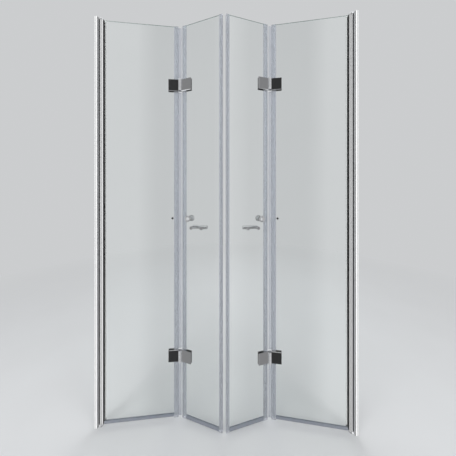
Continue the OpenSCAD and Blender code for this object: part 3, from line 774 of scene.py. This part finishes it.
def bevel_face(piece, width, in_face):
    """Bevels the edges whose two ends lie in one face."""
    edit(piece)
    pick_edges(lambda a, b: in_face(a) and in_face(b))
    bpy.ops.mesh.bevel(offset=width, segments=1, affect="EDGES")
    leave()


def moved(piece, place):
    """Puts a piece's mesh in a place, with its faces outwards."""
    work_on(piece)
    piece.matrix_world = place
    bpy.ops.object.transform_apply(location=True, rotation=True, scale=True)
    edit(piece)
    leave()
    return piece


def gathered(name, pieces):
    """Several solids as one piece."""
    work_on(pieces[0])
    for piece in pieces:
        piece.select_set(True)
    if len(pieces) > 1:
        bpy.ops.object.join()
    bpy.context.object.name = name
    return bpy.context.object


def copied(piece):
    """Copy of a piece with its own mesh."""
    work_on(piece)
    bpy.ops.object.duplicate(linked=False)
    return bpy.context.object


def shaded(piece, angle):
    """Smooth shading that leaves flat faces flat beside their rounded edges."""
    work_on(piece)
    bpy.ops.object.shade_smooth_by_angle(angle=math.radians(angle))
    bpy.ops.object.modifier_add(type="WEIGHTED_NORMAL")
    modifier = piece.modifiers[-1]
    modifier.keep_sharp = True
    bpy.ops.object.modifier_apply(modifier=modifier.name)


def hang_pair(piece, name, node, body, place, slot, smooth=35.0):
    """Hangs a piece on the left half and its mirror image on the right half."""
    if not piece.data.materials:
        piece.data.materials.append(FINISHES[slot])
    for side, turn in SIDES.items():
        half = piece if side == "right" else copied(piece)
        moved(half, turn @ place)
        shaded(half, smooth)
        half.name = half.data.name = f"{side}_{name}"
        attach(half, f"{side}_{body}" if body in ("outer_panel", "inner_panel") else body)
        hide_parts(node if node in frame["nodes"] else f"{side}_{node}")


class SHOWER_OT_wall_channels(Operator):
    """Crowned channels on the walls, with their screw holes, and the black strips, whose black also
    stands in for the shadow in the gap beside the rail
    """

    bl_idname = "shower.wall_channels"
    bl_label = "Wall channels"

    def execute(self, context):
        sizes = context.scene.shower_profiles
        low, high = measured("left_wall_channel", AT_WALL)
        wide, half = high.x, high.y
        bend = (wide ** 2 / 4 + sizes.crown ** 2) / (2 * sizes.crown)
        reach = math.degrees(math.asin(wide / 2 / bend))
        outline = both_sides(
            [(sizes.wall, half - sizes.wall), (wide, half - sizes.wall)]
            + arc((wide / 2, half - bend), bend, 90 - reach, 90 + reach, 12))
        piece = eased(drawn("wall_channel", outline, low.z, high.z), sizes.edge)
        for row in (-1.5, -0.5, 0.5, 1.5):
            height = MIDDLE + row * sizes.hole_pitch
            piece = cut(piece, rod("drill", sizes.hole / 2, (-SPAN, 0, height), (wide, 0, height)))
        hang_pair(piece, "crowned_channel", "wall_channel", "wall_profiles", AT_WALL,
                  "polished_aluminium")
        # The black strip is a seal between channel and rail, and its black also stands in for the
        # shadow in that gap: painted shade
        low, high = measured("rail_strips", AT_WALL, lambda point: point.x < HALF_WIDE)
        strip = eased(block("strip", low, high), sizes.strip_edge)
        hang_pair(strip, "shadow_gap_strip", "rail_strips", "wall_profiles", AT_WALL, "black_rubber")
        return {"FINISHED"}


class SHOWER_OT_rails(Operator):
    """Turning rails with lips round the glass, and the black gaskets in them"""

    bl_idname = "shower.rails"
    bl_label = "Turning rails"

    def execute(self, context):
        sizes = context.scene.shower_profiles
        low, high = measured("left_pivot_rail", AT_PIVOT)
        front = measured("left_pivot_rail", AT_PIVOT, lambda point: point.y < 0)[1]
        glass_low, glass_high = measured("left_outer_glass", AT_PIVOT)
        gasket_low, gasket_high = measured("left_glazing_gasket", AT_PIVOT)
        radius = sizes.rail / 2
        pocket = glass_high.y + sizes.gasket
        lip = pocket + sizes.lip
        joins = math.degrees(math.asin(lip / radius))
        outline = [(gasket_low.x, -pocket), (front.x, -pocket), (front.x, -lip)]
        outline += arc((0, 0), radius, -joins, joins - 360, 40)
        outline += [(high.x, lip), (high.x, pocket), (gasket_low.x, pocket)]
        piece = eased(drawn("rail", outline, low.z, high.z), sizes.edge, angle=40)
        hang_pair(piece, "turning_rail", "pivot_rail", "outer_panel", AT_PIVOT,
                  "polished_aluminium")

        inside = glass_high.y
        bead = -gasket_low.y / 6
        wedge = [(gasket_low.x, pocket - PLAY), (front.x + PLAY, pocket - PLAY)]
        wedge += arc((front.x + PLAY + bead, -gasket_low.y - bead), bead, 170, 40, 6)
        wedge += [(gasket_high.x, inside + bead * 0.7), (gasket_high.x, inside), (glass_low.x, inside)]
        wedge = [(x, -y) for x, y in wedge]
        wedge += [(glass_low.x, inside), (gasket_high.x, inside)]
        wedge += arc((gasket_high.x - bead, gasket_high.y - PLAY - bead), bead, 0, 90, 4)
        wedge += [(gasket_low.x, gasket_high.y - PLAY)]
        seat = drawn("gasket", wedge, gasket_low.z, gasket_high.z)
        hang_pair(seat, "wedge_gasket", "glazing_gasket", "outer_panel", AT_PIVOT, "black_rubber")
        return {"FINISHED"}


class SHOWER_OT_panes(Operator):
    """Panes of safety glass with polished edges, rounded corners and drilled holes"""

    bl_idname = "shower.panes"
    bl_label = "Glass panes"

    def execute(self, context):
        hinge = context.scene.shower_hinges
        handle = context.scene.shower_handles
        sizes = context.scene.shower_glass
        pins = [measured("left_fold_pins", AT_FOLD, test) for test in (below_middle, above_middle)]
        heights = [(low.z + high.z) / 2 for low, high in pins]
        knob = measured("left_outside_knob", AT_FOLD)
        bar = measured("left_grip_bar", AT_FOLD)
        handle_places = [((knob[0].x + knob[1].x) / 2, (knob[0].z + knob[1].z) / 2)]
        bar_high = (bar[0].z + bar[1].z) / 2
        handle_places.append((bar[0].x + handle.post_inset, bar_high))
        handle_places.append((bar[1].x - handle.post_inset, bar_high))
        for which, place in (("outer", AT_OUTER_FOLD), ("inner", AT_FOLD)):
            low, high = measured(f"left_{which}_glass", place)
            piece = self.pane(low, high, sizes)
            holes = [(hinge.screw_far, height + row * hinge.screw_pitch / 2, sizes.hinge_hole)
                     for height in heights for row in (-1, 1)]
            if which == "inner":
                holes += [(x, z, sizes.handle_hole) for x, z in handle_places]
            for x, z, size in holes:
                tool = rod("drill", size / 2, (x, low.y - SPAN, z), (x, high.y + SPAN, z))
                piece = cut(piece, tool)
            self.split_finishes(piece)
            hang_pair(piece, f"{which}_pane", f"{which}_glass", f"{which}_panel", place,
                      "safety_glass")
        return {"FINISHED"}

    def pane(self, low, high, sizes):
        """Sheet with rounded corners and a bevel round both faces."""
        piece = block("pane", low, high)
        edit(piece)
        pick_edges(lambda a, b: abs(a.y - b.y) > sizes.arris)
        bpy.ops.mesh.bevel(offset=sizes.corner, segments=4, affect="EDGES")
        pick_edges(lambda a, b: abs(a.y - b.y) < CLOSE)
        bpy.ops.mesh.bevel(offset=sizes.arris, segments=1, affect="EDGES")
        leave()
        return piece

    def split_finishes(self, piece):
        """Clear faces and a ground edge."""
        piece.data.materials.append(FINISHES["safety_glass"])
        piece.data.materials.append(FINISHES["glass_edge"])
        for face in piece.data.polygons:
            face.material_index = 0 if abs(face.normal.y) > 0.99 else 1


class SHOWER_OT_upright_seals(Operator):
    """Clear seals on the fold edges and the closing edges"""

    bl_idname = "shower.upright_seals"
    bl_label = "Upright seals"

    def execute(self, context):
        sizes = context.scene.shower_seals
        nose_end = measured("left_inner_fold_seal", AT_FOLD)[0].x
        corner = overlap = 0.0012
        for which, place in (("outer", AT_OUTER_FOLD), ("inner", AT_FOLD)):
            node = f"{which}_fold_seal"
            low, high = measured(f"left_{node}", place)
            glass_low, glass_high = measured(f"left_{which}_glass", place)
            edge, back = glass_low.x, glass_high.y
            nose = edge - nose_end
            outline = self.clip(glass_low, glass_high, edge, nose, high.x - edge, sizes)
            middle = (glass_low.y + back) / 2
            hollow = self.hollow(
                edge - nose + sizes.wall, edge - sizes.wall, middle, back - middle, corner)
            pieces = []
            for start, end in self.stretches(f"left_{node}"):
                piece = drawn("stretch", outline, start, end)
                if which == "outer":
                    fin = block("fin", (low.x, back - sizes.fin, start),
                                (edge - nose + overlap, back, end))
                    piece = weld(piece, eased(fin, sizes.fin * 0.35))
                pieces.append(cut(piece, drawn("hollow", hollow, start - SPAN, end + SPAN)))
            hang_pair(gathered("seal", pieces), f"{which}_fold_strip", node,
                      f"{which}_panel", place, "clear_vinyl")
        self.closing(sizes)
        return {"FINISHED"}

    def clip(self, glass_low, glass_high, edge, nose, leg, sizes):
        """Outline of a clip on a glass edge, its nose towards the fold."""
        middle = (glass_low.y + glass_high.y) / 2
        inner = glass_high.y - middle
        outer = inner + sizes.wall
        tip = sizes.wall / 2
        rib = sizes.rib
        half = [(0, inner)]
        half += arc((leg - tip, inner + tip), tip, -90, 90, 6)
        for share in (0.62, 0.42, 0.22):  # Where the ribs stand along the leg
            at = leg * share
            half += [(at + 2 * rib, outer), (at, outer - rib), (at - 2 * rib, outer)]
        half += arc((sizes.nose_round - nose, outer - sizes.nose_round),
                    sizes.nose_round, 90, 180, 8)
        return [(edge + x, middle + y) for x, y in both_sides(half)]

    def hollow(self, near, far, middle, half, corner):
        """Rounded hole in the nose of a seal."""
        points = arc((far - corner, half - corner), corner, 0, 90, 4)
        points += arc((near + corner, half - corner), corner, 90, 180, 4)
        return [(x, middle + y) for x, y in both_sides(points)]

    def stretches(self, node):
        """Heights between which a fold seal runs, clear of the hinges."""
        heights = sorted({round(v.co.z, 5) for v in frame["nodes"][node].data.vertices})
        return list(zip(heights[0::2], heights[1::2]))

    def closing(self, sizes):
        """Closing seal with a pocket for its magnet and a chamber beside it."""
        low, high = measured("left_magnet_seal", AT_FOLD)
        glass_low, glass_high = measured("left_inner_glass", AT_FOLD)
        strip_low, strip_high = measured("left_magnet_strip", AT_FOLD)
        edge = glass_high.x
        outline = self.clip(glass_low, glass_high, 0, high.x - edge, edge - low.x, sizes)
        outline = [(edge - x, y) for x, y in outline]
        piece = drawn("closing_seal", outline, low.z, high.z)
        middle = (glass_low.y + glass_high.y) / 2
        half = strip_high.y - middle + PLAY
        web = 0.0011
        pocket = self.hollow(strip_low.x - PLAY, strip_high.x + PLAY, middle, half, 0.0004)
        chamber = self.hollow(edge + sizes.wall, strip_low.x - web, middle, half, 0.0006)
        for outline in (pocket, chamber):
            piece = cut(piece, drawn("hollow", outline, low.z - SPAN, high.z + SPAN))
        hang_pair(piece, "closing_strip", "magnet_seal", "inner_panel", AT_FOLD, "clear_vinyl")


class SHOWER_OT_bottom_seals(Operator):
    """Smoky drip seals below the panes"""

    bl_idname = "shower.bottom_seals"
    bl_label = "Bottom seals"

    def execute(self, context):
        sizes = context.scene.shower_seals
        for which, place in (("outer", AT_PIVOT), ("inner", AT_FOLD)):
            low, high = measured(f"left_{which}_bottom_seal", place)
            glass_low, glass_high = measured(f"left_{which}_glass", place)
            middle = (glass_low.y + glass_high.y) / 2
            inner = glass_high.y - middle
            outer = inner + sizes.wall
            foot = glass_low.z
            tip = sizes.wall / 2
            half = [(inner, foot)]
            half += arc((inner + tip, high.z - tip), tip, 180, 0, 6)
            half += [(outer, foot - sizes.wall)]
            half += self.lip(inner, outer, foot - sizes.wall, low.z)
            half += [(0.0, foot - sizes.wall)]
            outline = [(middle + y, z) for y, z in half]
            outline += [(middle - y, z) for y, z in reversed(half[:-1])]
            piece = drawn("drip_seal", outline, low.x, high.x, axis="X")
            hang_pair(piece, f"{which}_drip_strip", f"{which}_bottom_seal", f"{which}_panel",
                      place, "smoky_vinyl")
        return {"FINISHED"}

    def lip(self, inner, outer, top, foot):
        """Curved lip that thins towards its drip edge."""
        outer_sweep, inner_sweep = 0.0009, 0.0008
        shares = [step / 6 for step in range(1, 7)]
        down = [(outer - outer_sweep * share ** 2, top + (foot - top) * share) for share in shares]
        up = [(inner - inner_sweep * share ** 2, top + (foot - top) * share)
              for share in reversed(shares)]
        return down + up + [(inner, top)]


class SHOWER_OT_hinges(Operator):
    """Fold hinges: bevelled leaves with their barrels, and counterbored back plates"""

    bl_idname = "shower.hinges"
    bl_label = "Fold hinges"

    softness = 0.0003

    def execute(self, context):
        sizes = context.scene.shower_hinges
        for which, place, own, other in (
            ("outer", AT_OUTER_FOLD, (-1, 1), (0,)),
            ("inner", AT_FOLD, (0,), (-1, 1)),
        ):
            leaves, plates = [], []
            for test in (below_middle, above_middle):
                leaves.append(self.leaf(which, place, test, own, other, sizes))
                plates.append(self.plate(which, place, test, sizes))
            hang_pair(gathered("leaves", leaves), f"{which}_leaves", f"{which}_hinge_leaves",
                      f"{which}_panel", place, "chrome")
            hang_pair(gathered("plates", plates), f"{which}_clamp_plates",
                      f"{which}_back_plates", f"{which}_panel", place, "chrome")
        return {"FINISHED"}

    def leaf(self, which, place, test, own, other, sizes):
        """Bevelled leaf with its own barrels, cut clear of the other leaf's."""
        low, high = measured(f"left_{which}_hinge_leaves", place, test)
        pin_low, pin_high = measured("left_fold_pins", AT_FOLD, test)
        tall = pin_high.z - pin_low.z
        centre = (pin_high.z + pin_low.z) / 2
        barrel = (tall - 2 * sizes.gap) / 3
        step = barrel + sizes.gap
        radius = sizes.knuckle / 2
        clear = 0.0005
        start = 0.001
        piece = block("leaf", (start, sizes.proud, pin_low.z), (high.x, high.y, pin_high.z))
        front = sizes.proud + CLOSE
        bevel_face(piece, sizes.bevel, lambda point: point.y < front)
        for row in own:
            height = centre + row * step
            piece = weld(piece, upright("barrel", radius, height - barrel / 2, height + barrel / 2))
        for row in other:
            height = centre + row * step
            reach = barrel / 2 + sizes.gap
            piece = cut(piece, upright("space", radius + clear, height - reach, height + reach))
        hole = upright("hole", sizes.pin / 2 + PLAY / 2, low.z - SPAN, high.z + SPAN, 48)
        return eased(cut(piece, hole), self.softness, angle=25)

    def plate(self, which, place, test, sizes):
        """Back plate, bevelled on its inside face, with two counterbores."""
        low, high = measured(f"left_{which}_back_plates", place, test)
        piece = block("plate", low, high)
        back = high.y - CLOSE
        bevel_face(piece, sizes.bevel * 0.75, lambda point: point.y > back)
        centre = (low.z + high.z) / 2
        for row in (-1, 1):
            height = centre + row * sizes.screw_pitch / 2
            start = (sizes.screw_far, high.y - sizes.head_deep, height)
            end = (sizes.screw_far, high.y + SPAN, height)
            piece = cut(piece, rod("counterbore", sizes.head / 2, start, end, 48))
        return eased(piece, self.softness, angle=25)


class SHOWER_OT_handles(Operator):
    """Knobs, grip bars, their caps and washers, and the bumpers"""

    bl_idname = "shower.handles"
    bl_label = "Handles"

    knob_foot = 0.62  # Share of a knob's radius that its foot has

    def execute(self, context):
        sizes = context.scene.shower_handles
        for name, turn in (("outside_knob", UPRIGHT_TO_OUTSIDE), ("inside_knob", UPRIGHT_TO_INSIDE)):
            low, high = measured(f"left_{name}", AT_FOLD)
            foot = high.y if name == "outside_knob" else low.y
            centre = Vector(((low.x + high.x) / 2, foot, (low.z + high.z) / 2))
            piece = self.knob(name, high.y - low.y, sizes)
            moved(piece, Matrix.Translation(centre) @ turn)
            hang_pair(piece, f"{name}_turned", name, "inner_panel", AT_FOLD, "chrome")
        self.grip(sizes)
        self.fixings(sizes)
        self.bumper()
        return {"FINISHED"}

    def knob(self, name, tall, sizes):
        """Turned knob with a waist, a rounded rim and a dished face."""
        rim = sizes.knob / 2
        foot, waist, ring = rim * self.knob_foot, rim * 0.5, rim * 0.60
        foot_round, hollow, shoulder, back_round, front_round = 0.0006, 0.003, 0.0035, 0.0015, 0.0025
        bend = (ring ** 2 + sizes.dish ** 2) / (2 * sizes.dish)
        spread = math.degrees(math.asin(ring / bend))
        outline = [(0, 0), (foot, 0)]
        outline += arc((foot - foot_round, 0.0014), foot_round, 0, 90, 3)
        outline += arc((waist + hollow, 0.005), hollow, 230, 180, 5)
        outline += arc((waist + shoulder, tall - 0.0135), shoulder, 180, 90, 6)
        outline += arc((rim - 0.002, tall - 0.0085), back_round, -90, 0, 5)
        outline += arc((rim - front_round, tall - front_round), front_round, 0, 90, 6)
        outline += arc((0, tall - sizes.dish + bend), bend, -90 + spread, -90, 8)
        outline[-1] = (0, outline[-1][1])
        return turned(name, outline, 64)

    def grip(self, sizes):
        """Round bar with rounded ends on two posts."""
        low, high = measured("left_grip_bar", AT_FOLD)
        radius = sizes.bar / 2
        post = sizes.post / 2
        long = high.x - low.x
        edge = 0.002
        near, far = sizes.post_inset - post - edge, sizes.post_inset + post + edge
        outline = [(0, 0)]
        outline += arc((radius - edge, edge), edge, -90, 0, 6)
        outline += [(radius, x) for x in (near, far, long - far, long - near)]
        outline += arc((radius - edge, long - edge), edge, 0, 90, 6)
        outline += [(0, long)]
        axis = Vector((low.x, high.y - radius, (low.z + high.z) / 2))
        bar = turned("bar", outline, 64)
        moved(bar, Matrix.Translation(axis) @ Matrix.Rotation(math.radians(90), 4, "Y"))
        for x in (low.x + sizes.post_inset, high.x - sizes.post_inset):
            flange, fillet, tall = post + 0.0012, 0.0018, axis.y - low.y
            shape = [(0, 0), (post + 0.0002, 0), (flange, 0.0004), (flange, 0.0016)]
            shape += arc((post + fillet, 0.0040), fillet, 250, 180, 5)
            shape += [(post, tall), (0, tall)]
            stem = turned("post", shape, 48)
            moved(stem, Matrix.Translation((x, low.y, axis.z)) @ UPRIGHT_TO_INSIDE)
            bar = weld(bar, stem)
        hang_pair(bar, "grip_handle", "grip_bar", "inner_panel", AT_FOLD, "chrome", 40)

    def fixings(self, sizes):
        """Caps and screws of the bar, the knobs' stud and the washers."""
        knob_low, knob_high = measured("left_outside_knob", AT_FOLD)
        bar_low, bar_high = measured("left_grip_bar", AT_FOLD)
        glass_low, glass_high = measured("left_inner_glass", AT_FOLD)
        low, high = measured("left_handle_fixings", AT_FOLD)
        middle = (bar_low.z + bar_high.z) / 2
        near_bar = measured("left_handle_fixings", AT_FOLD, lambda point: point.z < middle)[0]
        x, z = (knob_low.x + knob_high.x) / 2, (knob_low.z + knob_high.z) / 2
        stud, screw, thin = sizes.stud / 2, sizes.screw / 2, sizes.washer
        rim, screw_deep = 0.0008, 0.013
        outside, inside = glass_low.y - thin, glass_high.y
        foot = sizes.knob / 2 * self.knob_foot + rim
        pieces = [
            rod("stud", stud, (x, low.y, z), (x, high.y, z)),
            self.ring(foot, stud, thin, (x, z), outside),
            self.ring(foot, stud, thin, (x, z), inside),
        ]
        for x in (bar_low.x + sizes.post_inset, bar_high.x - sizes.post_inset):
            back = outside - PLAY / 2
            pieces += [
                self.cap(sizes, x, middle, near_bar.y, back),
                rod("screw", screw, (x, back, middle), (x, bar_low.y + screw_deep, middle)),
                self.ring(sizes.cap / 2, screw, thin, (x, middle), outside),
                self.ring(sizes.post / 2 + rim, screw, thin, (x, middle), inside),
            ]
        hang_pair(gathered("fixings", pieces), "caps_and_washers", "handle_fixings",
                  "inner_panel", AT_FOLD, "chrome")

    def ring(self, radius, bore, thick, centre, start):
        """Washer with rounded edges, lying against the glass."""
        edge = thick * 0.3
        outline = [(bore + PLAY, 0)]
        outline += arc((radius - edge, edge), edge, -90, 0, 3)
        outline += arc((radius - edge, thick - edge), edge, 0, 90, 3)
        outline += [(bore + PLAY, thick)]
        piece = turned("ring", outline)
        return moved(piece, Matrix.Translation((centre[0], start, centre[1])) @ UPRIGHT_TO_INSIDE)

    def cap(self, sizes, x, z, front, back):
        """Round cap with a softened rim and a hexagon socket."""
        thick = back - front
        piece = disc("cap", sizes.cap / 2, thick, thick * 0.35, 5)
        tool = rod("socket", sizes.screw * 0.35, (0, 0, thick / 2), (0, 0, thick + SPAN), 6)
        piece = cut(piece, tool)
        return moved(piece, Matrix.Translation((x, back, z)) @ UPRIGHT_TO_OUTSIDE)

    def bumper(self):
        """Soft dome that the knob meets."""
        low, high = measured("left_bumper", AT_OUTER_FOLD)
        tall = high.y - low.y
        piece = disc("bumper", (high.x - low.x) / 2, tall, tall * 0.5, 6)
        centre = ((low.x + high.x) / 2, high.y, (low.z + high.z) / 2)
        moved(piece, Matrix.Translation(centre) @ UPRIGHT_TO_OUTSIDE)
        hang_pair(piece, "soft_bumper", "bumper", "outer_panel", AT_OUTER_FOLD, "black_rubber")


class SHOWER_OT_packed_pieces(Operator):
    """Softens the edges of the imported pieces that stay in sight"""

    bl_idname = "shower.packed_pieces"
    bl_label = "Packed pieces"

    def execute(self, context):
        pairs = {
            "pivot_profile": 0.00025, "bearing_blocks": 0.0005, "pivot_pins": 0.0003,
            "fold_pins": 0.0004, "magnet_strip": 0.0002, "outer_hinge_pads": 0.0001,
            "inner_hinge_pads": 0.0001, "outer_hinge_screws": 0.0002, "inner_hinge_screws": 0.0002,
        }
        widths = {f"{side}_{name}": width for name, width in pairs.items() for side in SIDES}
        widths.update({"bearing_bushes": 0.0001, "side_screws": 0.0002})
        for name, width in widths.items():
            piece = frame["nodes"][name]
            joined = piece.modifiers.new("joined", "WELD")
            joined.merge_threshold = 2 * CLOSE
            softened = piece.modifiers.new("softened", "BEVEL")
            softened.width = width
            softened.segments = 2
            softened.limit_method = "ANGLE"
            softened.angle_limit = math.radians(40)
        return {"FINISHED"}


class SHOWER_PT_door(Panel):
    """Sidebar panel with every step of the door"""

    bl_idname = "SHOWER_PT_door"
    bl_label = "Shower Door"
    bl_space_type = "VIEW_3D"
    bl_region_type = "UI"
    bl_category = "Shower Door"

    def draw(self, context):
        for step in STEPS:
            self.layout.operator(step.bl_idname)


STEPS = (
    SHOWER_OT_stage, SHOWER_OT_finishes, SHOWER_OT_wall_channels, SHOWER_OT_rails,
    SHOWER_OT_panes, SHOWER_OT_upright_seals, SHOWER_OT_bottom_seals, SHOWER_OT_hinges,
    SHOWER_OT_handles, SHOWER_OT_packed_pieces,
)
SETTINGS = {
    "shower_stage": StageSettings,
    "shower_finish": FinishSettings,
    "shower_profiles": ProfileSettings,
    "shower_glass": GlassSettings,
    "shower_seals": SealSettings,
    "shower_hinges": HingeSettings,
    "shower_handles": HandleSettings,
}
CLASSES = (*SETTINGS.values(), *STEPS, SHOWER_PT_door)


def register():
    for each in CLASSES:
        bpy.utils.register_class(each)
    for name, group in SETTINGS.items():
        setattr(bpy.types.Scene, name, PointerProperty(type=group))


def unregister():
    for name in SETTINGS:
        delattr(bpy.types.Scene, name)
    for each in reversed(CLASSES):
        bpy.utils.unregister_class(each)


def main():
    register()
    bpy.ops.shower.stage()
    bpy.ops.shower.finishes()
    bpy.ops.shower.wall_channels()
    bpy.ops.shower.rails()
    bpy.ops.shower.panes()
    bpy.ops.shower.upright_seals()
    bpy.ops.shower.bottom_seals()
    bpy.ops.shower.hinges()
    bpy.ops.shower.handles()
    bpy.ops.shower.packed_pieces()


if __name__ == "__main__":
    main()
